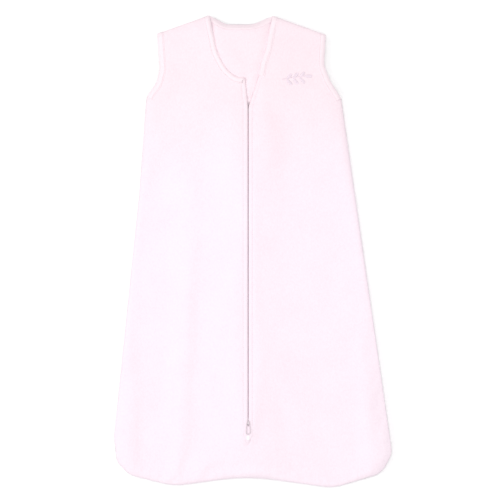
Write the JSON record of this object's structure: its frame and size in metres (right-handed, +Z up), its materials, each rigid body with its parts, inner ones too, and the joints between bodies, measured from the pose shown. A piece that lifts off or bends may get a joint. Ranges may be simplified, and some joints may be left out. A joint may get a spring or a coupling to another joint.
{
  "type": "baby sleeping bag",
  "caption": "Sleeveless A-line baby sleeping bag of soft fleece, laid flat, with bound neck and armholes, a loose neck corner and a concealed front zip that closes downwards.",
  "frame": {"origin": "middle of the bag's footprint on the floor it lies on", "axes": "+Z up out of the front of the bag; +Y along the bag towards the neck; +X towards the right of somebody who looks at the front"},
  "size_m": [0.3868, 0.6588, 0.0222],
  "materials": {
    "fleece": "pale pink micro-fleece with a short soft nap",
    "binding": "pale pink fleece strip, folded over the edge and stitched",
    "seam_thread": "pale pink polyester thread",
    "embroidery": "slightly shiny tonal pink embroidery thread",
    "zip_tape": "woven polyester tape",
    "zip_coil": "greyish pink nylon coil",
    "zip_fitting": "greyish pink moulded plastic",
    "zip_metal": "pale lacquered metal"
  },
  "bodies": {
    "bag": {"front_panel": "fleece", "back_panel": "fleece", "neck_binding": "binding", "armhole_binding_left": "binding", "armhole_binding_right": "binding", "hem_seam": "seam_thread", "shoulder_seam_left": "seam_thread", "shoulder_seam_right": "seam_thread", "side_seam_left": "seam_thread", "side_seam_right": "seam_thread", "topstitch_left": "seam_thread", "topstitch_right": "seam_thread", "chest_sprig": "embroidery", "zip_tape_left": "zip_tape", "zip_tape_right": "zip_tape", "zip_end_tab": "zip_tape", "zip_coil_left": "zip_coil", "zip_coil_right": "zip_coil", "zip_stop_left": "zip_coil", "zip_stop_right": "zip_coil", "zip_box": "zip_fitting", "zip_pin": "zip_fitting"},
    "slider": {"slider_body": "zip_metal"},
    "pull": {"pull_ring": "zip_metal"},
    "neck_flap": {"neck_corner": "fleece", "neck_corner_binding": "binding", "neck_corner_stitch": "seam_thread"}
  },
  "joints": [
    {"name": "slider_travel", "type": "slide", "parent": "bag", "child": "slider", "axis": [0, 1, 0], "range_m": [0, 0.423]},
    {"name": "pull_flip", "type": "hinge", "parent": "slider", "child": "pull", "pos_m": [-0.006, -0.2405, 0.02075], "axis": [-1, 0, 0], "range_deg": [0, 172]},
    {"name": "neck_corner_fold", "type": "hinge", "parent": "bag", "child": "neck_flap", "pos_m": [-0.006, 0.2006, 0.0215], "axis": [0.5038, -0.8638, 0], "range_deg": [0, 165]}
  ]
}
